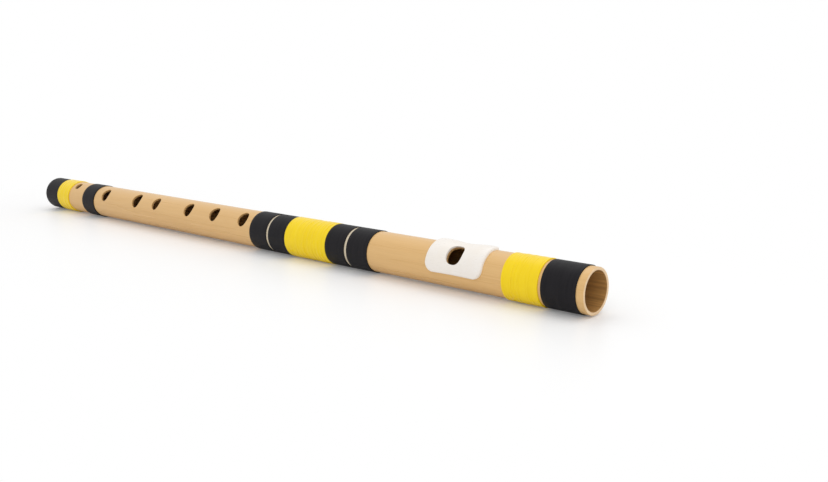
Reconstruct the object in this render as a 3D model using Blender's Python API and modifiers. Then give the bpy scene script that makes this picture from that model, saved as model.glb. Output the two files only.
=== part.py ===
"""A bansuri: a side-blown cane flute lying on its tape bands, with its holes rolled to the near side.

Metres, +Z up. The flute lies along X with its head end at +X. The origin is under the middle of the
flute, on the surface that it lies on. A station is a distance from the head end, down the flute.
"""
import math

import bmesh
import bpy
from mathutils import Matrix, Vector

MM = 0.001

# Tube
TUBE_DIAMETER = 22.2 * MM
WALL = 1.5 * MM
RIM_CHAMFER = 0.3 * MM
TUBE_FACETS = 96
SEAM_MERGE = 0.01 * MM

# Clearances
SEAT_GAP = 0.25 * MM
LAP_GAP = 0.3 * MM

# Tape, measured from the tube's surface
BLACK_HEIGHT = 0.5 * MM
YELLOW_HEIGHT = 0.7 * MM
YELLOW_LOW_HEIGHT = 0.6 * MM
BAND_FACETS = 64

# Lengths at the head, from the head end down
HEAD_RIM = 3.9 * MM
HEAD_BLACK_WIDTH = 18.4 * MM
HEAD_BARE_RING = 1.6 * MM
HEAD_YELLOW_WIDE = 14.4 * MM
HEAD_YELLOW_NARROW = 5.6 * MM
YELLOW_TO_PLATE = 11.4 * MM

# Lip plate, its wrap measured round the tube's surface, its shift from the mouth hole over the top
PLATE_LENGTH = 35.2 * MM
PLATE_WRAP = 25.2 * MM
PLATE_SHIFT = 2.4 * MM
PLATE_CORNER = 5.0 * MM
PLATE_MIDDLE_HEIGHT = 0.95 * MM
PLATE_LOBE_HEIGHT = 1.7 * MM
PLATE_EDGE_HEIGHT = 0.7 * MM
PLATE_SHOULDER = 1.0 * MM
PLATE_LOBE_PLACE = 0.76
PLATE_CORNER_STEPS = 6
PLATE_SIDE_STEPS = 8
PLATE_TO_BLACK = 41.2 * MM

# Lengths of the tape in the middle, a pair of black bands on each side of a yellow one
PAIR_OUTER_WIDTH = 15.4 * MM
PAIR_BARE_RING = 2.0 * MM
PAIR_INNER_WIDTH = 14.5 * MM
MIDDLE_YELLOW_EDGE = 2.3 * MM
MIDDLE_YELLOW_NARROW = 7.5 * MM
MIDDLE_YELLOW_MEDIUM = 6.6 * MM
MIDDLE_YELLOW_WIDE = 16.7 * MM

# Lengths down the row of finger holes, from centre to centre
TAPE_TO_HOLE = 9.6 * MM
HOLE_1_TO_2 = 28.9 * MM
HOLE_2_TO_3 = 27.6 * MM
HOLE_3_TO_4 = 37.5 * MM
HOLE_4_TO_5 = 23.7 * MM
HOLE_5_TO_6 = 40.6 * MM

# Lengths at the foot
HOLE_TO_TAPE = 13.0 * MM
FOOT_NARROW_BLACK = 15.8 * MM
TAPE_TO_VENT = 13.9 * MM
VENT_TO_YELLOW = 6.6 * MM
FOOT_YELLOW_WIDTH = 16.6 * MM
FOOT_BLACK_WIDTH = 17.6 * MM
FOOT_RIM = 0.5 * MM

# Holes: length along the flute and width across it
FINGER_HOLE = (8.2 * MM, 9.6 * MM)
SMALL_FINGER_HOLE = (7.6 * MM, 9.0 * MM)
LARGE_FINGER_HOLE = (8.8 * MM, 10.6 * MM)
MOUTH_HOLE = (9.2 * MM, 10.8 * MM)
VENT_HOLE = (6.0 * MM, 6.0 * MM)
MOUTH_HOLE_OFFSET = 0.7 * MM
OVAL = 2.0
SQUARED_OVAL = 2.6
HOLE_FACETS = 40

# Roll of the holes from the top of the tube towards the near side, -Y
FINGER_ROLL = math.radians(50.5)
MOUTH_ROLL = math.radians(47.5)
VENT_ROLL = math.radians(32.5)

# Cork stopper, its near face measured from the middle of the mouth hole
STOPPER_SETBACK = 17.0 * MM
STOPPER_LENGTH = 18.0 * MM
STOPPER_CHAMFER = 0.8 * MM
STOPPER_FACETS = 64

TUBE_RADIUS = TUBE_DIAMETER / 2
BORE_RADIUS = TUBE_RADIUS - WALL

# Every stretch of the flute from its head end to its foot end
STRETCHES = (
    ("head_rim", HEAD_RIM),
    ("tape_black_head", HEAD_BLACK_WIDTH),
    ("head_bare_ring", HEAD_BARE_RING),
    ("tape_yellow_head_1", HEAD_YELLOW_WIDE),
    ("head_lap", LAP_GAP),
    ("tape_yellow_head_2", HEAD_YELLOW_NARROW),
    ("yellow_to_plate", YELLOW_TO_PLATE),
    ("lip_plate", PLATE_LENGTH),
    ("plate_to_black", PLATE_TO_BLACK),
    ("tape_black_upper_1", PAIR_OUTER_WIDTH),
    ("upper_bare_ring", PAIR_BARE_RING),
    ("tape_black_upper_2", PAIR_INNER_WIDTH),
    ("upper_lap", LAP_GAP),
    ("tape_yellow_middle_1", MIDDLE_YELLOW_EDGE),
    ("middle_lap_1", LAP_GAP),
    ("tape_yellow_middle_2", MIDDLE_YELLOW_NARROW),
    ("middle_lap_2", LAP_GAP),
    ("tape_yellow_middle_3", MIDDLE_YELLOW_MEDIUM),
    ("middle_lap_3", LAP_GAP),
    ("tape_yellow_middle_4", MIDDLE_YELLOW_WIDE),
    ("lower_lap", LAP_GAP),
    ("tape_black_lower_1", PAIR_INNER_WIDTH),
    ("lower_bare_ring", PAIR_BARE_RING),
    ("tape_black_lower_2", PAIR_OUTER_WIDTH),
    ("hole_1", TAPE_TO_HOLE),
    ("hole_2", HOLE_1_TO_2),
    ("hole_3", HOLE_2_TO_3),
    ("hole_4", HOLE_3_TO_4),
    ("hole_5", HOLE_4_TO_5),
    ("hole_6", HOLE_5_TO_6),
    ("hole_to_tape", HOLE_TO_TAPE),
    ("tape_black_foot_1", FOOT_NARROW_BLACK),
    ("vent", TAPE_TO_VENT),
    ("vent_to_yellow", VENT_TO_YELLOW),
    ("tape_yellow_foot", FOOT_YELLOW_WIDTH),
    ("foot_lap", LAP_GAP),
    ("tape_black_foot_2", FOOT_BLACK_WIDTH),
    ("foot_rim", FOOT_RIM),
)


def stations():
    """The start and end station of every stretch, by name."""
    found = {}
    station = 0.0
    for name, length in STRETCHES:
        found[name] = (station, station + length)
        station += length
    return found


STATION = stations()
TUBE_LENGTH = STATION["foot_rim"][1]
MOUTH_STATION = STATION["lip_plate"][0] + PLATE_LENGTH / 2 + MOUTH_HOLE_OFFSET


def clear_scene():
    for obj in list(bpy.data.objects):
        bpy.data.objects.remove(obj, do_unlink=True)


def new_collection(name):
    collection = bpy.data.collections.new(name)
    bpy.context.scene.collection.children.link(collection)
    return collection


def new_material(name, colour, roughness, metallic=0.0):
    material = bpy.data.materials.new(name)
    material.use_nodes = True
    shader = material.node_tree.nodes["Principled BSDF"]
    shader.inputs["Base Color"].default_value = (*colour, 1.0)
    shader.inputs["Roughness"].default_value = roughness
    shader.inputs["Metallic"].default_value = metallic
    material.diffuse_color = (*colour, 1.0)
    return material


def add_piece(name, mesh, collection, axis, station=0.0, turn=0.0):
    """Put a mesh on the flute's axis at a station, turned about that axis."""
    piece = bpy.data.objects.new(name, mesh)
    collection.objects.link(piece)
    piece.parent = axis
    piece.location = (0.0, 0.0, station)
    piece.rotation_euler = (0.0, 0.0, turn)
    return piece


def add_turned(name, profile, facets, collection, axis, station=0.0):
    """A closed ring turned about the flute's axis, with a flat facet at the top and the bottom."""
    mesh = bpy.data.meshes.new(name)
    points = [(radius, 0.0, along) for radius, along in profile]
    edges = [(i, (i + 1) % len(points)) for i in range(len(points))]
    mesh.from_pydata(points, edges, [])
    piece = add_piece(name, mesh, collection, axis, station, turn=math.pi / facets)
    screw = piece.modifiers.new("Turn", "SCREW")
    screw.axis = "Z"
    screw.angle = 2 * math.pi
    screw.steps = facets
    screw.render_steps = facets
    screw.use_merge_vertices = True
    screw.merge_threshold = SEAM_MERGE
    return piece


def settle(piece, material):
    """Apply a piece's modifiers, shade it smooth between its sharp edges and give it its material."""
    bpy.context.view_layer.update()
    shaped = piece.evaluated_get(bpy.context.evaluated_depsgraph_get())
    mesh = bpy.data.meshes.new_from_object(shaped)
    mesh.name = piece.name
    piece.modifiers.clear()
    piece.data = mesh
    mesh.shade_smooth()
    mesh.set_sharp_from_angle(angle=math.radians(30))
    mesh.materials.clear()
    mesh.materials.append(material)


def oval_reach(direction, half_length, half_width, squareness):
    """Distance from an oval's centre to its edge in a direction, 0 being along the flute."""
    along = abs(math.cos(direction)) / half_length
    across = abs(math.sin(direction)) / half_width
    return (along ** squareness + across ** squareness) ** (-1 / squareness)


def add_hole_cutter(name, station, roll, size, squareness, collection, axis):
    """A straight oval prism from the flute's axis out through the wall on one side."""
    reach = TUBE_RADIUS + PLATE_LOBE_HEIGHT + WALL
    cutter_mesh = bmesh.new()
    bmesh.ops.create_cone(cutter_mesh, cap_ends=True, segments=HOLE_FACETS, radius1=1.0, radius2=1.0,
                          depth=reach, matrix=Matrix.Translation((0.0, 0.0, reach / 2)))
    for vertex in cutter_mesh.verts:
        direction = math.atan2(vertex.co.y, vertex.co.x)
        distance = oval_reach(direction, size[0] / 2, size[1] / 2, squareness)
        vertex.co.x = distance * math.cos(direction)
        vertex.co.y = distance * math.sin(direction)
    bmesh.ops.rotate(cutter_mesh, verts=cutter_mesh.verts, matrix=Matrix.Rotation(math.pi / 2, 3, "Y"))
    mesh = bpy.data.meshes.new(name)
    cutter_mesh.to_mesh(mesh)
    cutter_mesh.free()
    cutter = add_piece(name, mesh, collection, axis, station, turn=-roll)
    cutter.hide_render = True
    cutter.display_type = "WIRE"
    return cutter


def add_tube(collection, cutters, axis):
    """The cane tube, open at both ends, with chamfered rims and all its holes."""
    tube = add_turned("tube", [
        (TUBE_RADIUS, TUBE_LENGTH - RIM_CHAMFER),
        (TUBE_RADIUS, RIM_CHAMFER),
        (TUBE_RADIUS - RIM_CHAMFER, 0.0),
        (BORE_RADIUS + RIM_CHAMFER, 0.0),
        (BORE_RADIUS, RIM_CHAMFER),
        (BORE_RADIUS, TUBE_LENGTH - RIM_CHAMFER),
        (BORE_RADIUS + RIM_CHAMFER, TUBE_LENGTH),
        (TUBE_RADIUS - RIM_CHAMFER, TUBE_LENGTH),
    ], TUBE_FACETS, collection, axis)
    finger_sizes = {"hole_4": SMALL_FINGER_HOLE, "hole_5": LARGE_FINGER_HOLE}
    holes = [(f"hole_{number}", STATION[f"hole_{number}"][1], FINGER_ROLL,
              finger_sizes.get(f"hole_{number}", FINGER_HOLE), OVAL) for number in range(1, 7)]
    holes.append(("mouth_hole", MOUTH_STATION, MOUTH_ROLL, MOUTH_HOLE, SQUARED_OVAL))
    holes.append(("vent", STATION["vent"][1], VENT_ROLL, VENT_HOLE, OVAL))
    for name, station, roll, size, squareness in holes:
        drill = tube.modifiers.new(name, "BOOLEAN")
        drill.operation = "DIFFERENCE"
        drill.solver = "EXACT"
        drill.object = add_hole_cutter(name + "_cutter", station, roll, size, squareness, cutters, axis)
    return tube


def add_tape(name, height, collection, axis):
    """One band of tape wound round the tube over its own stretch."""
    start, end = STATION[name]
    inner = TUBE_RADIUS + SEAT_GAP
    outer = TUBE_RADIUS + height
    width = end - start
    profile = [(outer, width), (outer, 0.0), (inner, 0.0), (inner, width)]
    return add_turned(name, profile, BAND_FACETS, collection, axis, station=start)


def add_stopper(collection, axis):
    """The cork that closes the bore above the mouth hole, held by friction."""
    radius = BORE_RADIUS - SEAT_GAP
    cork_mesh = bmesh.new()
    bmesh.ops.create_cone(cork_mesh, cap_ends=True, segments=STOPPER_FACETS, radius1=radius,
                          radius2=radius, depth=STOPPER_LENGTH)
    mesh = bpy.data.meshes.new("stopper")
    cork_mesh.to_mesh(mesh)
    cork_mesh.free()
    middle = MOUTH_STATION - STOPPER_SETBACK - STOPPER_LENGTH / 2
    stopper = add_piece("stopper", mesh, collection, axis, station=middle)
    chamfer = stopper.modifiers.new("Chamfer", "BEVEL")
    chamfer.width = STOPPER_CHAMFER
    chamfer.segments = 1
    chamfer.limit_method = "ANGLE"
    chamfer.angle_limit = math.radians(60)
    return stopper


def straight_points(start, end, steps):
    """The points between the two ends of a straight side, without the ends."""
    return [start.lerp(end, step / steps) for step in range(1, steps)]


def plate_outline():
    """The lip plate's rounded rectangle, flat: points (along the flute, round the tube)."""
    half_length = PLATE_LENGTH / 2
    half_wrap = PLATE_WRAP / 2
    corner = min(PLATE_CORNER, 0.9 * half_length, 0.9 * half_wrap)
    arcs = []
    for quarter, (along, across) in enumerate(((1, 1), (-1, 1), (-1, -1), (1, -1))):
        centre = Vector((along * (half_length - corner), across * (half_wrap - corner)))
        arc = []
        for step in range(PLATE_CORNER_STEPS + 1):
            angle = math.pi / 2 * (quarter + step / PLATE_CORNER_STEPS)
            arc.append(centre + corner * Vector((math.cos(angle), math.sin(angle))))
        arcs.append(arc)
    outline = []
    for quarter, arc in enumerate(arcs):
        following = arcs[(quarter + 1) % len(arcs)]
        outline += arc
        outline += straight_points(arc[-1], following[0], PLATE_SIDE_STEPS)
    return outline


def plate_height(along):
    """Height of the plate's outer face over the tube: two raised lobes with a hollow between."""
    place = abs(along) / (PLATE_LENGTH / 2)
    rise = math.sin(math.pi / 2 * place / PLATE_LOBE_PLACE) ** 2
    return PLATE_MIDDLE_HEIGHT + (PLATE_LOBE_HEIGHT - PLATE_MIDDLE_HEIGHT) * rise


def add_lip_plate(collection, axis):
    """The saddle-shaped plate wrapped round the tube, with the mouth hole through it."""
    outline = [point + Vector((0.0, PLATE_SHIFT)) for point in plate_outline()]
    inner_radius = TUBE_RADIUS + SEAT_GAP
    spread = (0.0, 0.25, 0.5, 0.75, 1.0)
    loops = []

    def hole_point(point, height):
        direction = math.atan2(point.y, point.x - MOUTH_HOLE_OFFSET)
        reach = oval_reach(direction, MOUTH_HOLE[0] / 2, MOUTH_HOLE[1] / 2, SQUARED_OVAL)
        across = reach * math.sin(direction)
        radius = TUBE_RADIUS + height
        return Vector((MOUTH_HOLE_OFFSET + reach * math.cos(direction),
                       TUBE_RADIUS * math.asin(across / radius)))

    def on_tube(flat, radius):
        angle = flat.y / TUBE_RADIUS
        return (radius * math.cos(angle), radius * math.sin(angle), flat.x)

    for share in spread:
        loops.append([on_tube(hole_point(point, SEAT_GAP).lerp(point, share), inner_radius)
                      for point in outline])
    loops.append([on_tube(point, TUBE_RADIUS + PLATE_EDGE_HEIGHT) for point in outline])
    for share in reversed(spread):
        loop = []
        for point in outline:
            shoulder = point * (1 - PLATE_SHOULDER / point.length)
            rim = hole_point(point, PLATE_MIDDLE_HEIGHT)
            flat = rim.lerp(shoulder, share)
            loop.append(on_tube(flat, TUBE_RADIUS + plate_height(flat.x)))
        loops.append(loop)

    plate_mesh = bmesh.new()
    rings = [[plate_mesh.verts.new(point) for point in loop] for loop in loops]
    count = len(outline)
    for ring, following in zip(rings, rings[1:] + rings[:1]):
        for i in range(count):
            j = (i + 1) % count
            plate_mesh.faces.new((ring[i], ring[j], following[j], following[i]))
    bmesh.ops.recalc_face_normals(plate_mesh, faces=plate_mesh.faces)
    mesh = bpy.data.meshes.new("lip_plate")
    plate_mesh.to_mesh(mesh)
    plate_mesh.free()
    return add_piece("lip_plate", mesh, collection, axis,
                     station=STATION["lip_plate"][0] + PLATE_LENGTH / 2, turn=-MOUTH_ROLL)


def stand_on_origin(axis, pieces):
    """Move the flute so that the middle of its box's underside is the origin."""
    bpy.context.view_layer.update()
    corners = [piece.matrix_world @ vertex.co for piece in pieces for vertex in piece.data.vertices]
    low = Vector([min(corner[i] for corner in corners) for i in range(3)])
    high = Vector([max(corner[i] for corner in corners) for i in range(3)])
    axis.location -= Vector(((low.x + high.x) / 2, (low.y + high.y) / 2, low.z))
    bpy.context.view_layer.update()


def build():
    clear_scene()
    flute = new_collection("bansuri")
    cutters = new_collection("cutters")
    axis = bpy.data.objects.new("flute_axis", None)
    axis.rotation_euler = (0.0, -math.pi / 2, 0.0)
    flute.objects.link(axis)

    cane = new_material("cane", (0.78, 0.50, 0.20), 0.42)
    black = new_material("black_tape", (0.03, 0.03, 0.035), 0.55)
    yellow = new_material("yellow_tape", (0.87, 0.60, 0.02), 0.35)
    white = new_material("white_plastic", (0.90, 0.87, 0.82), 0.30)
    cork = new_material("cork", (0.42, 0.24, 0.11), 0.85)

    pieces = {add_tube(flute, cutters, axis): cane}
    pieces[add_lip_plate(flute, axis)] = white
    pieces[add_stopper(flute, axis)] = cork
    low_turns = ("tape_yellow_head_2", "tape_yellow_middle_1", "tape_yellow_middle_3")
    for name, _ in STRETCHES:
        if name.startswith("tape_black"):
            pieces[add_tape(name, BLACK_HEIGHT, flute, axis)] = black
        elif name in low_turns:
            pieces[add_tape(name, YELLOW_LOW_HEIGHT, flute, axis)] = yellow
        elif name.startswith("tape_yellow"):
            pieces[add_tape(name, YELLOW_HEIGHT, flute, axis)] = yellow
    for piece, material in pieces.items():
        settle(piece, material)
    stand_on_origin(axis, list(pieces))


build()
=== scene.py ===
"""The looks of a side-blown cane flute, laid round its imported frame.

Metres, +Z up. The flute lies along X with its head end at +X. A roll is an angle round the tube, from
the top towards -Y. Run as a script, it builds every piece, the stage and the camera.
"""
import math
import random
from collections import namedtuple

import bmesh
import bpy
from bpy.props import FloatProperty, FloatVectorProperty, PointerProperty
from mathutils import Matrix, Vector, noise


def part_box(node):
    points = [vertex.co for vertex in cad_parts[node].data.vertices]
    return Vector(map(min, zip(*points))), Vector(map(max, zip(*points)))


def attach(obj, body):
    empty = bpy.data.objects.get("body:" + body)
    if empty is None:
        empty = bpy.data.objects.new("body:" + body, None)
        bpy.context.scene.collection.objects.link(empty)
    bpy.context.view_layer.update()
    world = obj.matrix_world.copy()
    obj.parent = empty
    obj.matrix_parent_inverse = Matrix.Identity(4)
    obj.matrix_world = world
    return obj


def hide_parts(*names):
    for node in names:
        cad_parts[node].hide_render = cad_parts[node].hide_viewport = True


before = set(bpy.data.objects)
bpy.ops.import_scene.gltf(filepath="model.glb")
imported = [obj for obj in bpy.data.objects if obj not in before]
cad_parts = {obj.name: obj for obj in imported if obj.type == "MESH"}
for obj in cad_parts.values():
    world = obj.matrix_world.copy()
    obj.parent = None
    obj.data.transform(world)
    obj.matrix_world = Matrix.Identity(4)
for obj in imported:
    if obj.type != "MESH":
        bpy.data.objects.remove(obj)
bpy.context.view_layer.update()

bl_info = {
    "name": "Bansuri",
    "version": (1, 0, 0),
    "blender": (4, 5, 0),
    "location": "View3D > Sidebar > Bansuri",
    "description": "Builds a cane flute with its lip plate, tape bands and stopper",
    "category": "Add Mesh",
}

MM = 0.001

# The tube's place, read from the frame
TUBE_LOW, TUBE_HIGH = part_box("tube")
AXIS_Y = (TUBE_LOW.y + TUBE_HIGH.y) / 2
AXIS_Z = (TUBE_LOW.z + TUBE_HIGH.z) / 2
TUBE_RADIUS = (TUBE_HIGH.z - TUBE_LOW.z) / 2
PLATE_LOW, PLATE_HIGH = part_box("lip_plate")
PLATE_X = (PLATE_LOW.x + PLATE_HIGH.x) / 2

# Steps of the tube's mesh, with a finer window round each hole
ROLL_ROWS = 144
PLAIN_STEP = 3.0 * MM
WINDOW_STEP = 1.0 * MM
WINDOW_MARGIN = 2.6 * MM
WINDOW_TURN = math.radians(8)
PATCH_STEPS = 6

# Steps of the roundings. Up to these turns a rounding shows the skin of the cane
ROUND_STEPS = 4
INNER_ROUND_STEPS = 2
RIM_SKIN_TURN = 1.0
HOLE_SKIN_TURN = 0.9

# Gap between the tube and what is stuck on it
SKIN_GAP = 0.02 * MM

# Steps of the lip plate's mesh, and where the rings on its underside lie between its hole and its edge
PLATE_CORNER_STEPS = 10
PLATE_SIDE_STEPS = 16
PLATE_EDGE_STEPS = 6
PLATE_TOP_STEPS = 14
PLATE_SEAT_SHARES = (0.0, 0.33, 0.67, 1.0)
# Where the plate's lobes are highest, as a share of half its length
LOBE_PLACE = 0.76

# Steps of the tape's mesh, round the tube, across a flat band and across one soft roll
BAND_STEPS = 192
FLAT_BAND_STEPS = 6
ROLL_STEPS = 12

# Width of the soft rolls across the yellow tape, and how far the bands' edges waver
ROLL_PITCH = 4.8 * MM
BLACK_WOBBLE = 0.05 * MM
YELLOW_WOBBLE = 0.07 * MM
# First seed of the yellow strips. The black bands' seeds start at 0
YELLOW_SEED = 20

# A wound tape ends in a thin step somewhere between these rolls, in degrees, on the hidden side
TAPE_END_ROLLS = (185, 215)
TAPE_END_RAMP = math.radians(0.6)

# A band that starts this close to a higher one runs a little way under it
LAP_REACH = 0.5 * MM
LAP_DEPTH = 0.1 * MM
SAME_HEIGHT = 0.01 * MM

# The cork's mesh, with the rings on its ends as shares of its radius, its rounded ends and its pits
CORK_STEPS = 120
CORK_LENGTH_STEPS = 20
CORK_END_SHARES = (0.08, 0.35, 0.6, 0.8)
CORK_EDGE = 0.8 * MM
PIT_DEPTH = 0.12 * MM
PIT_WAVES = 700.0

# Shapes of the holes' edges, 2 being a plain oval
OVAL = 2.0
SQUARED_OVAL = 2.6

# The floor is lifted a little for the camera, and turns white between two distances from the flute
FLOOR_WIDTH = 40.0
FLOOR_LIFT = 0.12
WHITE_FROM = 0.03
WHITE_AT = 0.15

# Place, width and height of the soft lamps
KEY_BOX = ((0.05, 0.30, 0.95), 1.1, 0.7)
FILL_BOX = ((0.65, -0.75, 0.60), 0.6, 0.6)

# The colour sockets of a mixing node
MIX_FIRST, MIX_SECOND, MIX_RESULT = 6, 7, 2

# Finishes of the tube's faces, by material index
SKIN, CUT, BORE, RIM = range(4)

# Distances between the middles of the finger holes, from the first one down the flute
HOLE_SPACINGS = (28.9 * MM, 27.6 * MM, 37.5 * MM, 23.7 * MM, 40.6 * MM)
# The fourth finger hole is a little smaller than the others, and the fifth a little larger
HOLE_SCALES = (1.0, 1.0, 1.0, 0.93, 1.09, 1.0)

BLACK_BANDS = ("tape_black_head", "tape_black_upper_1", "tape_black_upper_2", "tape_black_lower_1",
               "tape_black_lower_2", "tape_black_foot_1", "tape_black_foot_2")
YELLOW_BANDS = ("tape_yellow_head_1", "tape_yellow_head_2", "tape_yellow_middle_1",
                "tape_yellow_middle_2", "tape_yellow_middle_3", "tape_yellow_middle_4",
                "tape_yellow_foot")

# The pairs of black bands with a bare ring between them, the band nearer the head first
BARE_RINGS = (("tape_black_upper_1", "tape_black_upper_2"), ("tape_black_lower_1", "tape_black_lower_2"))

Hole = namedtuple("Hole", "x roll length width squareness")


class BansuriSizes(bpy.types.PropertyGroup):
    """Sizes that the frame doesn't give."""

    wall: FloatProperty(
        name="Wall", description="Thickness of the cane", default=1.5 * MM, unit="LENGTH")
    rim_round: FloatProperty(
        name="Rim rounding", description="Rounding of the tube's end rims", default=0.3 * MM,
        unit="LENGTH")
    hole_round: FloatProperty(
        name="Hole rounding", description="Rounding of the holes' outer edges", default=0.35 * MM,
        unit="LENGTH")
    hole_inner_round: FloatProperty(
        name="Inner rounding", description="Rounding of the holes' inner edges", default=0.2 * MM,
        unit="LENGTH")
    tape_to_hole: FloatProperty(
        name="Tape to first hole", description="From the last middle band to the first finger hole",
        default=9.6 * MM, unit="LENGTH")
    finger_length: FloatProperty(
        name="Finger hole length", description="Length of a finger hole along the flute",
        default=8.2 * MM, unit="LENGTH")
    finger_width: FloatProperty(
        name="Finger hole width", description="Width of a finger hole across the flute",
        default=9.6 * MM, unit="LENGTH")
    mouth_length: FloatProperty(
        name="Mouth hole length", description="Length of the mouth hole along the flute",
        default=9.2 * MM, unit="LENGTH")
    mouth_width: FloatProperty(
        name="Mouth hole width", description="Width of the mouth hole across the flute",
        default=10.8 * MM, unit="LENGTH")
    mouth_offset: FloatProperty(
        name="Mouth hole offset", description="From the plate's middle towards the foot",
        default=0.7 * MM, unit="LENGTH")
    vent_diameter: FloatProperty(
        name="Vent diameter", description="Diameter of the vent hole", default=6.0 * MM,
        unit="LENGTH")
    tape_to_vent: FloatProperty(
        name="Tape to vent", description="From the narrow foot band to the middle of the vent hole",
        default=13.9 * MM, unit="LENGTH")
    finger_roll: FloatProperty(
        name="Finger hole roll", description="Roll of the finger holes from the top",
        default=math.radians(50.5), subtype="ANGLE")
    mouth_roll: FloatProperty(
        name="Mouth hole roll", description="Roll of the mouth hole and the plate from the top",
        default=math.radians(47.5), subtype="ANGLE")
    vent_roll: FloatProperty(
        name="Vent roll", description="Roll of the vent hole from the top",
        default=math.radians(32.5), subtype="ANGLE")
    plate_wrap: FloatProperty(
        name="Plate wrap", description="Width of the lip plate round the tube's surface",
        default=25.2 * MM, unit="LENGTH")
    plate_shift: FloatProperty(
        name="Plate shift", description="From the mouth hole to the plate's middle, over the top",
        default=2.4 * MM, unit="LENGTH")
    plate_corner: FloatProperty(
        name="Plate corner", description="Radius of the plate's corners", default=5.0 * MM,
        unit="LENGTH")
    plate_middle: FloatProperty(
        name="Plate middle height", description="Height of the plate over the tube at its middle",
        default=0.95 * MM, unit="LENGTH")
    plate_lobe: FloatProperty(
        name="Plate lobe height", description="Height of the plate over the tube at its lobes",
        default=1.7 * MM, unit="LENGTH")
    plate_base: FloatProperty(
        name="Plate edge height", description="Height of the plate's upright edge",
        default=0.4 * MM, unit="LENGTH")
    plate_edge: FloatProperty(
        name="Plate edge rounding", description="Width of the rounding along the plate's edge",
        default=1.2 * MM, unit="LENGTH")
    tape_thickness: FloatProperty(
        name="Tape thickness", description="Step where a wound tape ends", default=0.12 * MM,
        unit="LENGTH")
    black_edge: FloatProperty(
        name="Black tape edge", description="Rounding of the black tape's edges",
        default=0.08 * MM, unit="LENGTH")
    yellow_edge: FloatProperty(
        name="Yellow tape edge", description="Rounding of the yellow tape's edges",
        default=0.3 * MM, unit="LENGTH")
    yellow_swell: FloatProperty(
        name="Yellow tape swell", description="Depth of the soft rolls across the yellow tape",
        default=0.1 * MM, unit="LENGTH")
    cork_gap: FloatProperty(
        name="Cork gap", description="Room between the cork and the bore", default=0.08 * MM,
        unit="LENGTH")


class BansuriColours(bpy.types.PropertyGroup):
    """Colours of the finishes."""

    bare_ring: FloatVectorProperty(
        name="Bare rings", description="Scraped rings inside the pairs of black bands",
        default=(0.72, 0.62, 0.46), subtype="COLOR", min=0, max=1)
    cane: FloatVectorProperty(
        name="Cane", description="Skin of the cane", default=(0.79, 0.495, 0.20),
        subtype="COLOR", min=0, max=1)
    cut_cane: FloatVectorProperty(
        name="Cut cane", description="Walls of the holes", default=(0.66, 0.40, 0.16),
        subtype="COLOR", min=0, max=1)
    rim: FloatVectorProperty(
        name="Rim", description="End faces of the tube", default=(0.92, 0.68, 0.42),
        subtype="COLOR", min=0, max=1)
    bore: FloatVectorProperty(
        name="Bore", description="Inside of the tube", default=(0.46, 0.25, 0.075),
        subtype="COLOR", min=0, max=1)
    black: FloatVectorProperty(
        name="Black tape", description="Black tape", default=(0.011, 0.010, 0.012),
        subtype="COLOR", min=0, max=1)
    yellow: FloatVectorProperty(
        name="Yellow tape", description="Yellow tape", default=(0.98, 0.71, 0.008),
        subtype="COLOR", min=0, max=1)
    plate: FloatVectorProperty(
        name="Lip plate", description="White plastic", default=(0.94, 0.895, 0.845),
        subtype="COLOR", min=0, max=1)
    cork: FloatVectorProperty(
        name="Cork", description="Cork", default=(0.42, 0.24, 0.11),
        subtype="COLOR", min=0, max=1)
    floor: FloatVectorProperty(
        name="Floor", description="Floor under the flute", default=(0.87, 0.87, 0.87),
        subtype="COLOR", min=0, max=1)


class BansuriStage(bpy.types.PropertyGroup):
    """Camera and light."""

    camera_place: FloatVectorProperty(
        name="Camera", description="Place of the camera",
        default=(0.43929, AXIS_Y - 0.34608, AXIS_Z + 0.09851), subtype="TRANSLATION")
    camera_heading: FloatProperty(
        name="Heading", description="Direction of the view, from +X towards +Y",
        default=math.radians(131.51), subtype="ANGLE")
    camera_tilt: FloatProperty(
        name="Tilt", description="Tilt of the view above the level", default=math.radians(-10.976),
        subtype="ANGLE")
    lens: FloatProperty(
        name="Lens", description="Focal length on a 36 mm sensor, in millimetres", default=39.319)
    sky: FloatProperty(
        name="Surroundings", description="Level of the light from all round", default=0.85)
    key: FloatProperty(
        name="Key light", description="Power of the soft light overhead", default=2.0, unit="POWER")
    fill: FloatProperty(
        name="Fill light", description="Power of the soft light beside the camera", default=0.8,
        unit="POWER")


def on_tube(x, roll, radius):
    """The point at a place along the flute, a roll and a distance from the axis."""
    return (x, AXIS_Y - radius * math.sin(roll), AXIS_Z + radius * math.cos(roll))


def in_hole(roll, x, across, up):
    """The point at a distance across a hole and a height up its middle line."""
    return (x,
            AXIS_Y - up * math.sin(roll) - across * math.cos(roll),
            AXIS_Z + up * math.cos(roll) - across * math.sin(roll))


def oval_reach(direction, length, width, squareness):
    """Distance from an oval's middle to its edge in a direction, 0 being along the flute."""
    along = abs(math.cos(direction)) / (length / 2)
    across = abs(math.sin(direction)) / (width / 2)
    return (along ** squareness + across ** squareness) ** (-1 / squareness)


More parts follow.
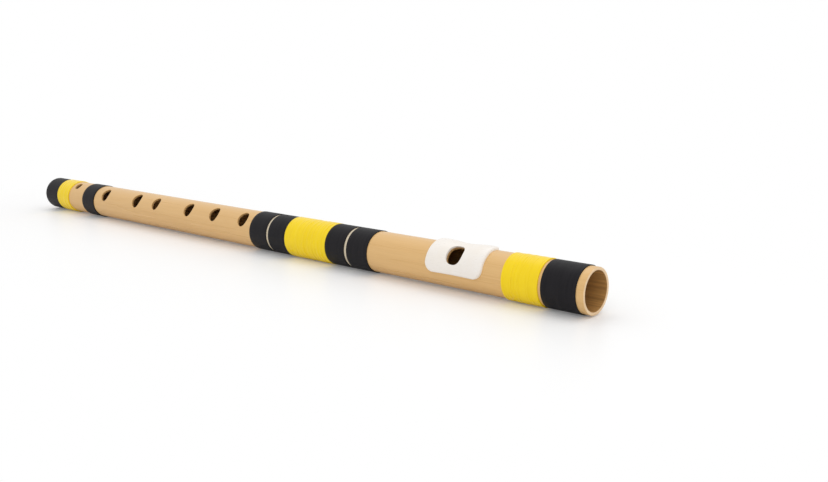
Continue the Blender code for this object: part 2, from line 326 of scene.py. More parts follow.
class Sketch:
    """Points and faces of one mesh, collected ring by ring."""

    def __init__(self):
        self.points = []
        self.faces = []
        self.finishes = []

    def ring(self, places):
        """Add the points of a ring. Returns their numbers."""
        start = len(self.points)
        self.points += [tuple(place) for place in places]
        return list(range(start, len(self.points)))

    def face(self, corners, finish=0):
        """Add a face between numbered points, with the index of its finish."""
        self.faces.append(tuple(corners))
        self.finishes.append(finish)

    def bridge(self, first, second, finish=0):
        """Quads between two closed rings that have the same number of points."""
        for i in range(len(first)):
            j = (i + 1) % len(first)
            self.face((first[i], first[j], second[j], second[i]), finish)

    def piece(self, name, materials, slot, body, sharp=35.0):
        """The finished object, riding on its body and standing for its node of the same name."""
        mesh = bpy.data.meshes.new(name)
        mesh.from_pydata(self.points, [], self.faces)
        mesh.polygons.foreach_set("material_index", self.finishes)
        shell = bmesh.new()
        shell.from_mesh(mesh)
        loose = [vertex for vertex in shell.verts if not vertex.link_faces]
        bmesh.ops.delete(shell, geom=loose, context="VERTS")
        bmesh.ops.recalc_face_normals(shell, faces=shell.faces)
        shell.to_mesh(mesh)
        shell.free()
        mesh.shade_smooth()
        mesh.set_sharp_from_angle(angle=math.radians(sharp))
        for material in materials:
            mesh.materials.append(material)
        piece = bpy.data.objects.new(name + "_skin", mesh)
        bpy.context.scene.collection.objects.link(piece)
        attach(piece, body)
        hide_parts(name)
        return piece


class Finish:
    """A material built round one shader."""

    def __init__(self, name, roughness):
        self.material = bpy.data.materials.new(name)
        self.material.use_nodes = True
        self.nodes = self.material.node_tree.nodes
        self.links = self.material.node_tree.links
        self.shader = self.nodes["Principled BSDF"]
        self.shader.inputs["Roughness"].default_value = roughness
        self.place = self.nodes.new("ShaderNodeTexCoord").outputs["Object"]

    def stretched(self, scale):
        """The object's own coordinates, stretched by a scale per axis."""
        mapping = self.nodes.new("ShaderNodeMapping")
        mapping.inputs["Scale"].default_value = scale
        self.links.new(self.place, mapping.inputs["Vector"])
        return mapping.outputs["Vector"]

    def grain(self, scale, detail=3.0, roughness=0.55):
        """A noise with a size per axis, in waves a metre."""
        texture = self.nodes.new("ShaderNodeTexNoise")
        texture.inputs["Scale"].default_value = 1.0
        texture.inputs["Detail"].default_value = detail
        texture.inputs["Roughness"].default_value = roughness
        self.links.new(self.stretched(scale), texture.inputs["Vector"])
        return texture.outputs["Fac"]

    def cells(self, scale):
        """Distances to scattered points, for pores and flecks."""
        texture = self.nodes.new("ShaderNodeTexVoronoi")
        texture.inputs["Scale"].default_value = 1.0
        self.links.new(self.stretched(scale), texture.inputs["Vector"])
        return texture.outputs["Distance"]

    def ramp(self, value, stops):
        """Colours along a value, as (place, colour) stops."""
        ramp = self.nodes.new("ShaderNodeValToRGB")
        elements = ramp.color_ramp.elements
        while len(elements) < len(stops):
            elements.new(0.5)
        for element, (place, colour) in zip(elements, stops):
            element.position = place
            element.color = (*colour, 1.0)
        self.links.new(value, ramp.inputs["Fac"])
        return ramp.outputs["Color"]

    def blend(self, first, second, kind="MULTIPLY", amount=None):
        """Two colours mixed in a given way, whole or as far as a value says."""
        mix = self.nodes.new("ShaderNodeMix")
        mix.data_type = "RGBA"
        mix.blend_type = kind
        mix.inputs["Factor"].default_value = 1.0
        if amount is not None:
            self.links.new(amount, mix.inputs["Factor"])
        self.links.new(first, mix.inputs[MIX_FIRST])
        self.links.new(second, mix.inputs[MIX_SECOND])
        return mix.outputs[MIX_RESULT]

    def spread(self, value, low, high, to_low, to_high):
        """A value's range carried over to another range."""
        change = self.nodes.new("ShaderNodeMapRange")
        for name, number in (("From Min", low), ("From Max", high), ("To Min", to_low), ("To Max", to_high)):
            change.inputs[name].default_value = number
        self.links.new(value, change.inputs["Value"])
        return change.outputs["Result"]

    def bump(self, value, depth, strength=1.0, under=None):
        """Relief of a depth in metres, laid over an earlier relief."""
        relief = self.nodes.new("ShaderNodeBump")
        relief.inputs["Distance"].default_value = depth
        relief.inputs["Strength"].default_value = strength
        self.links.new(value, relief.inputs["Height"])
        if under is not None:
            self.links.new(under, relief.inputs["Normal"])
        return relief.outputs["Normal"]

    def zone(self, low, high):
        """1 between two places along the flute, and 0 elsewhere."""
        split = self.nodes.new("ShaderNodeSeparateXYZ")
        self.links.new(self.place, split.inputs["Vector"])
        compare = self.nodes.new("ShaderNodeMath")
        compare.operation = "COMPARE"
        compare.inputs[1].default_value = (low + high) / 2
        compare.inputs[2].default_value = (high - low) / 2
        self.links.new(split.outputs["X"], compare.inputs[0])
        return compare.outputs["Value"]

    def gloss(self, level):
        """How strongly the surface mirrors, 0.5 being usual."""
        self.shader.inputs["Specular IOR Level"].default_value = level

    def feed(self, **sources):
        """Links into the shader: colour, roughness, normal."""
        names = {"colour": "Base Color", "roughness": "Roughness", "normal": "Normal"}
        for key, source in sources.items():
            self.links.new(source, self.shader.inputs[names[key]])
        return self.material


def tinted(colour, red, green, blue):
    """A colour with each part scaled."""
    return tuple(min(1.0, part * scale) for part, scale in zip(colour, (red, green, blue)))


def cane_skin(colours):
    """Smooth satin skin with long faint streaks and fine fibre lines, scraped pale in the bare rings."""
    finish = Finish("cane_skin", 0.3)
    base = tuple(colours.cane)
    streaks = finish.grain((7.0, 260.0, 260.0), detail=4.0)
    broad = finish.grain((4.0, 45.0, 45.0), detail=2.0)
    fibres = finish.grain((60.0, 2400.0, 2400.0), detail=2.0)
    colour = finish.ramp(streaks, ((0.30, tinted(base, 0.955, 0.935, 0.90)),
                                   (0.50, base),
                                   (0.72, tinted(base, 1.03, 1.045, 1.09))))
    wide = finish.ramp(broad, ((0.30, (0.955, 0.94, 0.92)), (0.70, (1.0, 1.0, 1.0))))
    fine = finish.ramp(fibres, ((0.35, (0.965, 0.955, 0.94)), (0.60, (1.0, 1.0, 1.0))))
    colour = finish.blend(colour, wide)
    colour = finish.blend(colour, fine)
    scraped = finish.ramp(fibres, ((0.30, tinted(colours.bare_ring, 0.9, 0.88, 0.85)),
                                   (0.65, tuple(colours.bare_ring))))
    for inner, outer in BARE_RINGS:
        ring = finish.zone(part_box(outer)[1].x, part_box(inner)[0].x)
        colour = finish.blend(colour, scraped, "MIX", ring)
    normal = finish.bump(fibres, 0.012 * MM, 0.5)
    normal = finish.bump(streaks, 0.05 * MM, 0.35, under=normal)
    return finish.feed(colour=colour, roughness=finish.spread(streaks, 0.3, 0.7, 0.25, 0.33), normal=normal)


def cut_cane(colours):
    """Drilled walls of the holes, browner, with the fibres' ends and lengths."""
    finish = Finish("cut_cane", 0.6)
    base = tuple(colours.cut_cane)
    fibres = finish.grain((300.0, 1800.0, 1800.0), detail=3.0)
    colour = finish.ramp(fibres, ((0.30, tinted(base, 0.62, 0.55, 0.45)),
                                  (0.65, tinted(base, 1.15, 1.15, 1.15))))
    return finish.feed(colour=colour, normal=finish.bump(fibres, 0.05 * MM, 0.6))


def rim_cane(colours):
    """End faces of the tube, pale, dotted with the ends of the fibres."""
    finish = Finish("rim_cane", 0.55)
    base = tuple(colours.rim)
    dots = finish.cells((500.0, 2600.0, 2600.0))
    colour = finish.ramp(dots, ((0.10, tinted(base, 0.72, 0.62, 0.50)), (0.42, base)))
    mottle = finish.ramp(finish.grain((200.0, 500.0, 500.0)), ((0.35, (0.93, 0.90, 0.86)), (0.65, (1, 1, 1))))
    return finish.feed(colour=finish.blend(colour, mottle),
                       normal=finish.bump(dots, 0.03 * MM, 0.4))


def bore_cane(colours):
    """Inside of the tube, scraped brown cane with long streaks."""
    finish = Finish("bore_cane", 0.72)
    base = tuple(colours.bore)
    streaks = finish.grain((14.0, 700.0, 700.0), detail=4.0)
    colour = finish.ramp(streaks, ((0.30, tinted(base, 0.60, 0.55, 0.50)),
                                   (0.68, tinted(base, 1.25, 1.22, 1.15))))
    return finish.feed(colour=colour, normal=finish.bump(streaks, 0.08 * MM, 0.6))


def black_tape(colours):
    """Matt tape with a fine pebbled face and faint stretch marks round the tube."""
    finish = Finish("black_tape", 0.5)
    finish.gloss(0.15)
    base = tuple(colours.black)
    pebble = finish.grain((2600.0, 2600.0, 2600.0), detail=2.0)
    stretch = finish.grain((900.0, 60.0, 60.0), detail=3.0)
    colour = finish.ramp(stretch, ((0.30, tinted(base, 0.80, 0.80, 0.82)),
                                   (0.70, tinted(base, 1.30, 1.28, 1.28))))
    normal = finish.bump(pebble, 0.012 * MM, 0.5)
    normal = finish.bump(stretch, 0.03 * MM, 0.5, under=normal)
    return finish.feed(colour=colour, roughness=finish.spread(pebble, 0.3, 0.7, 0.42, 0.58), normal=normal)


def yellow_tape(colours):
    """Glossy tape with soft stretch marks round the tube."""
    finish = Finish("yellow_tape", 0.3)
    finish.gloss(0.25)
    base = tuple(colours.yellow)
    stretch = finish.grain((700.0, 45.0, 45.0), detail=3.0)
    patches = finish.grain((90.0, 90.0, 90.0), detail=2.0)
    colour = finish.ramp(stretch, ((0.28, tinted(base, 0.985, 0.975, 0.80)),
                                   (0.70, tinted(base, 1.01, 1.015, 1.3))))
    tone = finish.ramp(patches, ((0.35, (0.97, 0.96, 0.90)), (0.65, (1.0, 1.0, 1.0))))
    normal = finish.bump(stretch, 0.01 * MM, 0.4)
    normal = finish.bump(patches, 0.05 * MM, 0.25, under=normal)
    return finish.feed(colour=finish.blend(colour, tone),
                       roughness=finish.spread(stretch, 0.3, 0.7, 0.24, 0.34), normal=normal)


def plate_plastic(colours):
    """Satin white plastic, polished by hand, with a slight warm mottle."""
    finish = Finish("plate_plastic", 0.3)
    base = tuple(colours.plate)
    mottle = finish.grain((110.0, 110.0, 110.0), detail=3.0)
    scuffs = finish.grain((300.0, 1500.0, 1500.0), detail=3.0)
    colour = finish.ramp(mottle, ((0.30, tinted(base, 0.985, 0.965, 0.93)), (0.65, base)))
    return finish.feed(colour=colour, roughness=finish.spread(scuffs, 0.3, 0.7, 0.24, 0.38),
                       normal=finish.bump(scuffs, 0.006 * MM, 0.4))


def cork_body(colours):
    """Cork with dark flecks and pits."""
    finish = Finish("cork_body", 0.85)
    base = tuple(colours.cork)
    flecks = finish.cells((900.0, 500.0, 500.0))
    mottle = finish.grain((400.0, 300.0, 300.0), detail=4.0)
    colour = finish.ramp(flecks, ((0.08, tinted(base, 0.35, 0.30, 0.25)), (0.30, base)))
    tone = finish.ramp(mottle, ((0.30, (0.72, 0.68, 0.62)), (0.68, (1.0, 1.0, 1.0))))
    normal = finish.bump(flecks, 0.15 * MM, 0.6)
    return finish.feed(colour=finish.blend(colour, tone),
                       normal=finish.bump(mottle, 0.08 * MM, 0.6, under=normal))


def mouth_hole(sizes):
    """The mouth hole, through the plate and the wall."""
    return Hole(PLATE_X - sizes.mouth_offset, sizes.mouth_roll, sizes.mouth_length, sizes.mouth_width,
                SQUARED_OVAL)


def all_holes(sizes):
    """Every hole in the tube, from the foot to the head."""
    vent_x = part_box("tape_black_foot_1")[0].x - sizes.tape_to_vent
    vent = Hole(vent_x, sizes.vent_roll, sizes.vent_diameter, sizes.vent_diameter, OVAL)
    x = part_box("tape_black_lower_2")[0].x - sizes.tape_to_hole
    fingers = []
    for spacing, scale in zip((*HOLE_SPACINGS, 0.0), HOLE_SCALES):
        fingers.append(Hole(x, sizes.finger_roll, sizes.finger_length * scale,
                            sizes.finger_width * scale, OVAL))
        x -= spacing
    return [vent, *reversed(fingers), mouth_hole(sizes)]


def extend(columns, target, step):
    """Add even columns, about a step apart, up to a target."""
    start = columns[-1]
    count = max(1, round((target - start) / step))
    columns += [start + (target - start) * (k + 1) / count for k in range(count)]


def window_edge(first, last, low, high):
    """The grid points round a window, as (column, row) pairs."""
    edge = [(i, low) for i in range(first, last)]
    edge += [(last, j) for j in range(low, high)]
    edge += [(i, high) for i in range(last, first, -1)]
    edge += [(first, j) for j in range(high, low, -1)]
    return edge


def hole_ring(hole, directions, outward, radius, up=0.0):
    """Points round a hole at its edge or outward of it, on a cylinder of the tube's axis, or up from it."""
    places = []
    for direction in directions:
        reach = oval_reach(direction, hole.length, hole.width, hole.squareness) + outward
        across = reach * math.sin(direction)
        height = math.sqrt(radius ** 2 - across ** 2) + up
        places.append(in_hole(hole.roll, hole.x + reach * math.cos(direction), across, height))
    return places


def quarter_turn(steps):
    """Angles from 0 to a right angle."""
    return [math.pi / 2 * k / steps for k in range(steps + 1)]


def patch(sketch, edge_points, hole, directions, outward, radius, edge_ring, finish):
    """Fill the tube's surface between a window's edge and the rim of its hole. Returns the rim's ring."""
    rim = []
    for direction in directions:
        reach = oval_reach(direction, hole.length, hole.width, hole.squareness) + outward
        roll = hole.roll + math.asin(reach * math.sin(direction) / radius)
        rim.append((hole.x + reach * math.cos(direction), roll))
    last = edge_ring
    for step in range(1, PATCH_STEPS + 1):
        share = step / PATCH_STEPS
        ring = sketch.ring(on_tube(x + (rim_x - x) * share, roll + (rim_roll - roll) * share, radius)
                           for (x, roll), (rim_x, rim_roll) in zip(edge_points, rim))
        sketch.bridge(last, ring, finish)
        last = ring
    return last


def build_tube(sizes, materials):
    """The cane tube as one smooth wall, with rounded rims and rounded holes."""
    sketch = Sketch()
    bore_radius = TUBE_RADIUS - sizes.wall
    rim = sizes.rim_round
    row = 2 * math.pi / ROLL_ROWS
    holes = all_holes(sizes)
    columns = [TUBE_LOW.x + rim]
    windows = []
    for hole in holes:
        half = hole.length / 2 + WINDOW_MARGIN
        turn = math.asin(hole.width / 2 / bore_radius) + WINDOW_TURN
        extend(columns, hole.x - half, PLAIN_STEP)
        first = len(columns) - 1
        extend(columns, hole.x + half, WINDOW_STEP)
        windows.append((first, len(columns) - 1,
                        math.floor((hole.roll - turn) / row), math.ceil((hole.roll + turn) / row)))
    extend(columns, TUBE_HIGH.x - rim, PLAIN_STEP)

    grids = {}
    for radius, finish in ((TUBE_RADIUS, SKIN), (bore_radius, BORE)):
        grid = [sketch.ring(on_tube(x, row * j, radius) for j in range(ROLL_ROWS)) for x in columns]
        grids[finish] = grid
        for i in range(len(columns) - 1):
            for j in range(ROLL_ROWS):
                if any(a <= i < b and low <= j < high for a, b, low, high in windows):
                    continue
                k = (j + 1) % ROLL_ROWS
                sketch.face((grid[i][j], grid[i][k], grid[i + 1][k], grid[i + 1][j]), finish)

    turns = quarter_turn(ROUND_STEPS)
    rounding = [(TUBE_RADIUS - rim, turn) for turn in turns[1:]]
    rounding += [(bore_radius + rim, math.pi / 2 + turn) for turn in turns[:-1]]
    for end, inward, column in ((TUBE_LOW.x, 1, 0), (TUBE_HIGH.x, -1, -1)):
        last = grids[SKIN][column]
        for middle, turn in rounding:
            x = end + inward * rim * (1 - math.sin(turn))
            radius = middle + rim * math.cos(turn)
            ring = sketch.ring(on_tube(x, row * j, radius) for j in range(ROLL_ROWS))
            sketch.bridge(last, ring, SKIN if turn < RIM_SKIN_TURN else RIM)
            last = ring
        sketch.bridge(last, grids[BORE][column], BORE)

    for hole, (first, last_column, low, high) in zip(holes, windows):
        edge = window_edge(first, last_column, low, high)
        points = [(columns[i], row * j) for i, j in edge]
        directions = [math.atan2((roll - hole.roll) * TUBE_RADIUS, x - hole.x) for x, roll in points]
        outer = patch(sketch, points, hole, directions, sizes.hole_round, TUBE_RADIUS,
                      [grids[SKIN][i][j] for i, j in edge], SKIN)
        last = outer
        for turn in quarter_turn(ROUND_STEPS)[1:]:
            ring = sketch.ring(hole_ring(hole, directions, sizes.hole_round * (1 - math.sin(turn)),
                                         TUBE_RADIUS, up=-sizes.hole_round * (1 - math.cos(turn))))
            sketch.bridge(last, ring, SKIN if turn < HOLE_SKIN_TURN else CUT)
            last = ring
        for turn in reversed(quarter_turn(INNER_ROUND_STEPS)[1:]):
            outward = sizes.hole_inner_round * (1 - math.sin(turn))
            ring = sketch.ring(hole_ring(hole, directions, outward, bore_radius,
                                         up=sizes.hole_inner_round * (1 - math.cos(turn))))
            sketch.bridge(last, ring, CUT)
            last = ring
        inner = patch(sketch, points, hole, directions, sizes.hole_inner_round, bore_radius,
                      [grids[BORE][i][j] for i, j in edge], BORE)
        sketch.bridge(last, inner, CUT)
    return sketch.piece("tube", materials, "cane", "flute")


def plate_outline(length, wrap, corner):
    """A rounded rectangle as flat points, along the flute and round the tube."""
    arcs = []
    for quarter, (along, across) in enumerate(((1, 1), (-1, 1), (-1, -1), (1, -1))):
        middle = Vector((along * (length / 2 - corner), across * (wrap / 2 - corner)))
        angles = [math.pi / 2 * (quarter + k / PLATE_CORNER_STEPS) for k in range(PLATE_CORNER_STEPS + 1)]
        arcs.append([middle + corner * Vector((math.cos(angle), math.sin(angle))) for angle in angles])
    outline = []
    for quarter, arc in enumerate(arcs):
        outline += arc
        target = arcs[(quarter + 1) % 4][0]
        outline += [arc[-1].lerp(target, k / PLATE_SIDE_STEPS) for k in range(1, PLATE_SIDE_STEPS)]
    return outline


def build_plate(sizes, material):
    """The saddle-shaped lip plate, rounded along its edge and round the mouth hole."""
    sketch = Sketch()
    half_length = (PLATE_HIGH.x - PLATE_LOW.x) / 2
    seat = TUBE_RADIUS + SKIN_GAP
    hole = mouth_hole(sizes)
    over = Vector((0.0, -sizes.plate_shift))
    outline = [point + over for point in plate_outline(2 * half_length, sizes.plate_wrap, sizes.plate_corner)]
    offset = -sizes.mouth_offset
    directions = [math.atan2(point.y, point.x - offset) for point in outline]

    def crown(along):
        rise = math.sin(math.pi / 2 * abs(along) / half_length / LOBE_PLACE) ** 2
        return sizes.plate_middle + (sizes.plate_lobe - sizes.plate_middle) * rise

    def rim_point(direction, outward, radius):
        reach = oval_reach(direction, hole.length, hole.width, hole.squareness) + outward
        return Vector((offset + reach * math.cos(direction),
                       TUBE_RADIUS * math.asin(reach * math.sin(direction) / radius)))

    def lay(point, radius):
        return on_tube(PLATE_X + point.x, hole.roll + point.y / TUBE_RADIUS, radius)

    rings = []
    for share in PLATE_SEAT_SHARES:
        rings.append([lay(rim_point(direction, 0.0, seat).lerp(point, share), seat)
                      for direction, point in zip(directions, outline)])
    for turn in reversed(quarter_turn(PLATE_EDGE_STEPS)):
        ring = []
        for direction, point in zip(directions, outline):
            inward = (rim_point(direction, 0.0, seat) - point).normalized()
            place = point + inward * sizes.plate_edge * (1 - math.sin(turn))
            top = crown(place.x)
            height = sizes.plate_base + (top - sizes.plate_base) * math.cos(turn)
            ring.append(lay(place, TUBE_RADIUS + height))
        rings.append(ring)
    for step in range(1, PLATE_TOP_STEPS + 1):
        ring = []
        for direction, point in zip(directions, outline):
            inward = (rim_point(direction, 0.0, seat) - point).normalized()
            shoulder = point + inward * sizes.plate_edge
            start = rim_point(direction, sizes.hole_round, TUBE_RADIUS + sizes.plate_middle)
            place = shoulder.lerp(start, step / PLATE_TOP_STEPS)
            ring.append(lay(place, TUBE_RADIUS + crown(place.x)))
        rings.append(ring)
    for turn in quarter_turn(ROUND_STEPS)[1:]:
        ring = []
        for direction in directions:
            outward = sizes.hole_round * (1 - math.sin(turn))
            reach = oval_reach(direction, hole.length, hole.width, hole.squareness) + outward
            along = reach * math.cos(direction)
            across = reach * math.sin(direction)
            radius = TUBE_RADIUS + crown(offset + along)
            up = math.sqrt(radius ** 2 - across ** 2) - sizes.hole_round * (1 - math.cos(turn))
            ring.append(in_hole(hole.roll, hole.x + along, across, up))
        rings.append(ring)
    made = [sketch.ring(ring) for ring in rings]
    for ring, following in zip(made, made[1:] + made[:1]):
        sketch.bridge(ring, following)
    return sketch.piece("lip_plate", [material], "white_plastic", "flute", sharp=50.0)


def band_ends(name, names):
    """A band's two ends and its radius. Where a higher band starts close by, the end runs up to it."""
    low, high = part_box(name)
    radius = (high.z - low.z) / 2
    ends = [low.x, high.x]
    for other in names:
        other_low, other_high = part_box(other)
        if (other_high.z - other_low.z) / 2 <= radius + SAME_HEIGHT:
            continue
        if 0 < low.x - other_high.x < LAP_REACH:
            ends[0] = other_high.x - LAP_DEPTH
        if 0 < other_low.x - high.x < LAP_REACH:
            ends[1] = other_low.x + LAP_DEPTH
    return ends, radius


def build_band(name, sizes, material, slot, edge, wobble, swell, seed):
    """One band of wound tape with soft rolls across it, which ends in a thin step on its hidden side."""
    chance = random.Random(seed)
    ends, outer = band_ends(name, BLACK_BANDS + YELLOW_BANDS)
    inner = TUBE_RADIUS + SKIN_GAP
    start = math.radians(chance.uniform(*TAPE_END_ROLLS))
    width = ends[1] - ends[0]
    rolls = max(1, round(width / ROLL_PITCH))
    swell *= min(1.0, width / ROLL_PITCH)
    middles = ROLL_STEPS * rolls if swell else FLAT_BAND_STEPS
    phases = [chance.uniform(0, 2 * math.pi) for _ in range(4)]
    sketch = Sketch()
    rings = []
    for k in range(BAND_STEPS):
        share = k / (BAND_STEPS - 1)
        turn = (2 * math.pi - TAPE_END_RAMP) * share
        roll = start + turn
        top = outer - sizes.tape_thickness * (1 - share)
        low = ends[0] + wobble * (math.sin(roll + phases[0]) + 0.5 * math.sin(3 * roll + phases[1]))
        high = ends[1] + wobble * (math.sin(roll + phases[2]) + 0.5 * math.sin(2 * roll + phases[3]))
        profile = [(low, inner)]
        profile += [(low + edge * (1 - math.cos(angle)), top - edge * (1 - math.sin(angle)))
                    for angle in quarter_turn(ROUND_STEPS)]
        profile += [(low + edge + (high - low - 2 * edge) * step / middles,
                     top - swell * math.sin(math.pi * rolls * step / middles) ** 2)
                    for step in range(1, middles)]
        profile += [(high - edge * (1 - math.cos(angle)), top - edge * (1 - math.sin(angle)))
                    for angle in reversed(quarter_turn(ROUND_STEPS))]
        profile += [(high, inner)]
        rings.append(sketch.ring(on_tube(x, roll, radius) for x, radius in profile))
    for ring, following in zip(rings, rings[1:] + rings[:1]):
        sketch.bridge(ring, following)
    return sketch.piece(name, [material], slot, "flute", sharp=40.0)


def build_stopper(sizes, material):
    """The cork, a straight pitted cylinder with rounded ends."""
    sketch = Sketch()
    low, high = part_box("stopper")
    radius = TUBE_RADIUS - sizes.wall - sizes.cork_gap
    profile = [(low.x, radius * share) for share in CORK_END_SHARES]
    profile += [(low.x + CORK_EDGE * (1 - math.cos(turn)), radius - CORK_EDGE * (1 - math.sin(turn)))
                for turn in quarter_turn(ROUND_STEPS)]
    length = high.x - low.x - 2 * CORK_EDGE
    profile += [(low.x + CORK_EDGE + length * step / CORK_LENGTH_STEPS, radius)
                for step in range(1, CORK_LENGTH_STEPS)]
    profile += [(high.x - CORK_EDGE * (1 - math.cos(turn)), radius - CORK_EDGE * (1 - math.sin(turn)))
                for turn in reversed(quarter_turn(ROUND_STEPS))]
    profile += [(high.x, radius * share) for share in reversed(CORK_END_SHARES)]
    rings = []
    for x, distance in profile:
        places = []
        for k in range(CORK_STEPS):
            roll = 2 * math.pi * k / CORK_STEPS
            depth = PIT_DEPTH * max(0.0, noise.noise(Vector(on_tube(x, roll, distance)) * PIT_WAVES))
            places.append(on_tube(x, roll, distance - depth))
        rings.append(sketch.ring(places))
    for ring, following in zip(rings, rings[1:]):
        sketch.bridge(ring, following)
    for ring in (rings[0], rings[-1]):
        sketch.face(ring)
    return sketch.piece("stopper", [material], "cork", "stopper")


def distance_from_flute(finish):
    """How far a place on the floor lies from the flute's middle line, beside it or past its ends."""
    nodes, links = finish.nodes, finish.links
    split = nodes.new("ShaderNodeSeparateXYZ")
    links.new(finish.place, split.inputs["Vector"])
    along = nodes.new("ShaderNodeMath")
    along.operation = "ABSOLUTE"
    links.new(split.outputs["X"], along.inputs[0])
    # 0 beside the flute. Past an end, the distance from it, up to a metre
    past_end = finish.spread(along.outputs["Value"], TUBE_HIGH.x, TUBE_HIGH.x + 1.0, 0.0, 1.0)
    away = nodes.new("ShaderNodeCombineXYZ")
    links.new(past_end, away.inputs["X"])
    links.new(split.outputs["Y"], away.inputs["Y"])
    distance = nodes.new("ShaderNodeVectorMath")
    distance.operation = "LENGTH"
    links.new(away.outputs["Vector"], distance.inputs[0])
    return distance.outputs["Value"]


def add_floor(colours):
    """A wide pale floor that takes the flute's shadow, and turns white for the camera a little way off."""
    half = FLOOR_WIDTH / 2
    mesh = bpy.data.meshes.new("floor")
    mesh.from_pydata([(-half, -half, 0), (half, -half, 0), (half, half, 0), (-half, half, 0)], [],
                     [(0, 1, 2, 3)])
    floor = bpy.data.objects.new("floor", mesh)
    bpy.context.scene.collection.objects.link(floor)
    finish = Finish("floor", 0.42)
    finish.gloss(0.35)
    finish.shader.inputs["Base Color"].default_value = (*colours.floor, 1.0)
    nodes, links = finish.nodes, finish.links
    camera = nodes.new("ShaderNodeLightPath").outputs["Is Camera Ray"]
    fade = finish.spread(distance_from_flute(finish), WHITE_FROM, WHITE_AT, 0.0, 1.0)

    lift = nodes.new("ShaderNodeEmission")
    links.new(finish.spread(camera, 0.0, 1.0, 0.0, FLOOR_LIFT), lift.inputs["Strength"])
    lifted = nodes.new("ShaderNodeAddShader")
    links.new(finish.shader.outputs["BSDF"], lifted.inputs[0])
    links.new(lift.outputs["Emission"], lifted.inputs[1])
    seen = nodes.new("ShaderNodeMath")
    seen.operation = "MULTIPLY"
    links.new(fade, seen.inputs[0])
    links.new(camera, seen.inputs[1])
    white = nodes.new("ShaderNodeEmission")
    mix = nodes.new("ShaderNodeMixShader")
    links.new(seen.outputs["Value"], mix.inputs["Fac"])
    links.new(lifted.outputs["Shader"], mix.inputs[1])
    links.new(white.outputs["Emission"], mix.inputs[2])
    links.new(mix.outputs["Shader"], nodes["Material Output"].inputs["Surface"])
    mesh.materials.append(finish.material)


def add_world(level):
    """Even light from all round, seen as white by the camera."""
    world = bpy.data.worlds.new("studio")
    world.use_nodes = True
    bpy.context.scene.world = world
    nodes = world.node_tree.nodes
    links = world.node_tree.links
    light = nodes["Background"]
    light.inputs["Color"].default_value = (1.0, 1.0, 1.0, 1.0)
    light.inputs["Strength"].default_value = level
    seen = nodes.new("ShaderNodeBackground")
    seen.inputs["Color"].default_value = (1.0, 1.0, 1.0, 1.0)
    path = nodes.new("ShaderNodeLightPath")
    mix = nodes.new("ShaderNodeMixShader")
    links.new(path.outputs["Is Camera Ray"], mix.inputs["Fac"])
    links.new(light.outputs["Background"], mix.inputs[1])
    links.new(seen.outputs["Background"], mix.inputs[2])
    links.new(mix.outputs["Shader"], nodes["World Output"].inputs["Surface"])


def add_softbox(name, box, power):
    """A wide soft lamp turned towards the origin."""
    place, width, height = box
    lamp = bpy.data.lights.new(name, "AREA")
    lamp.shape = "RECTANGLE"
    lamp.size = width
    lamp.size_y = height
    lamp.energy = power
    holder = bpy.data.objects.new(name, lamp)
    holder.location = place
    holder.rotation_euler = (-Vector(place)).to_track_quat("-Z", "Y").to_euler()
    bpy.context.scene.collection.objects.link(holder)


def add_camera(stage):
    """The camera, level and turned to its heading."""
    camera = bpy.data.objects.new("camera", bpy.data.cameras.new("camera"))
    camera.data.sensor_width = 36.0
    camera.data.sensor_fit = "HORIZONTAL"
    camera.data.lens = stage.lens
    camera.data.clip_start = 0.01
    camera.location = stage.camera_place
    ahead = Vector((math.cos(stage.camera_tilt) * math.cos(stage.camera_heading),
                    math.cos(stage.camera_tilt) * math.sin(stage.camera_heading),
                    math.sin(stage.camera_tilt)))
    camera.rotation_euler = ahead.to_track_quat("-Z", "Y").to_euler()
    bpy.context.scene.collection.objects.link(camera)
    bpy.context.scene.camera = camera


class BANSURI_OT_tube(bpy.types.Operator):
    """Build the cane tube with its holes"""

    bl_idname = "bansuri.tube"
    bl_label = "Tube"

    def execute(self, context):
        colours = context.scene.bansuri_colours
        materials = [cane_skin(colours), cut_cane(colours), bore_cane(colours), rim_cane(colours)]
        build_tube(context.scene.bansuri_sizes, materials)
        return {"FINISHED"}


class BANSURI_OT_lip_plate(bpy.types.Operator):
    """Build the white plate round the mouth hole"""

    bl_idname = "bansuri.lip_plate"
    bl_label = "Lip plate"

    def execute(self, context):
        build_plate(context.scene.bansuri_sizes, plate_plastic(context.scene.bansuri_colours))
        return {"FINISHED"}


class BANSURI_OT_black_tape(bpy.types.Operator):
    """Build the bands of black tape"""

    bl_idname = "bansuri.black_tape"
    bl_label = "Black tape"

    def execute(self, context):
        sizes = context.scene.bansuri_sizes
        material = black_tape(context.scene.bansuri_colours)
        for seed, name in enumerate(BLACK_BANDS):
            build_band(name, sizes, material, "black_tape", sizes.black_edge, BLACK_WOBBLE, 0.0, seed)
        return {"FINISHED"}


class BANSURI_OT_yellow_tape(bpy.types.Operator):
    """Build the strips of yellow tape"""

    bl_idname = "bansuri.yellow_tape"
    bl_label = "Yellow tape"

    def execute(self, context):
        sizes = context.scene.bansuri_sizes
        material = yellow_tape(context.scene.bansuri_colours)
        for seed, name in enumerate(YELLOW_BANDS):
            build_band(name, sizes, material, "yellow_tape", sizes.yellow_edge, YELLOW_WOBBLE,
                       sizes.yellow_swell, YELLOW_SEED + seed)
        return {"FINISHED"}


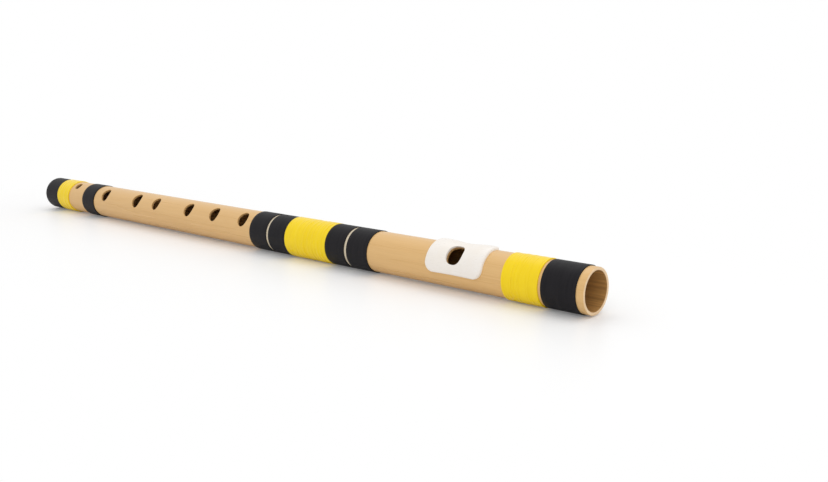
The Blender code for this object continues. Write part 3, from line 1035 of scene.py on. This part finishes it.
class BANSURI_OT_stopper(bpy.types.Operator):
    """Build the cork in the bore"""

    bl_idname = "bansuri.stopper"
    bl_label = "Stopper"

    def execute(self, context):
        build_stopper(context.scene.bansuri_sizes, cork_body(context.scene.bansuri_colours))
        return {"FINISHED"}


class BANSURI_OT_stage(bpy.types.Operator):
    """Add the floor, the light and the camera"""

    bl_idname = "bansuri.stage"
    bl_label = "Stage"

    def execute(self, context):
        stage = context.scene.bansuri_stage
        context.scene.view_settings.view_transform = "Standard"
        add_floor(context.scene.bansuri_colours)
        add_world(stage.sky)
        add_softbox("key", KEY_BOX, stage.key)
        add_softbox("fill", FILL_BOX, stage.fill)
        add_camera(stage)
        return {"FINISHED"}


class BANSURI_PT_panel(bpy.types.Panel):
    """Sizes, colours and pieces of the flute"""

    bl_idname = "BANSURI_PT_panel"
    bl_label = "Bansuri"
    bl_space_type = "VIEW_3D"
    bl_region_type = "UI"
    bl_category = "Bansuri"

    def draw(self, context):
        for group in (context.scene.bansuri_sizes, context.scene.bansuri_colours,
                      context.scene.bansuri_stage):
            box = self.layout.box()
            for name in group.__annotations__:
                box.prop(group, name)
        for operator in OPERATORS:
            self.layout.operator(operator.bl_idname)


OPERATORS = (BANSURI_OT_tube, BANSURI_OT_lip_plate, BANSURI_OT_black_tape, BANSURI_OT_yellow_tape,
             BANSURI_OT_stopper, BANSURI_OT_stage)
GROUPS = {"bansuri_sizes": BansuriSizes, "bansuri_colours": BansuriColours,
          "bansuri_stage": BansuriStage}


def register():
    for group in (*GROUPS.values(), *OPERATORS, BANSURI_PT_panel):
        bpy.utils.register_class(group)
    for name, group in GROUPS.items():
        setattr(bpy.types.Scene, name, PointerProperty(type=group))


def unregister():
    for name in GROUPS:
        delattr(bpy.types.Scene, name)
    for group in (BANSURI_PT_panel, *reversed(OPERATORS), *GROUPS.values()):
        bpy.utils.unregister_class(group)


def main():
    """Build everything."""
    register()
    bpy.ops.bansuri.tube()
    bpy.ops.bansuri.lip_plate()
    bpy.ops.bansuri.black_tape()
    bpy.ops.bansuri.yellow_tape()
    bpy.ops.bansuri.stopper()
    bpy.ops.bansuri.stage()


if __name__ == "__main__":
    main()
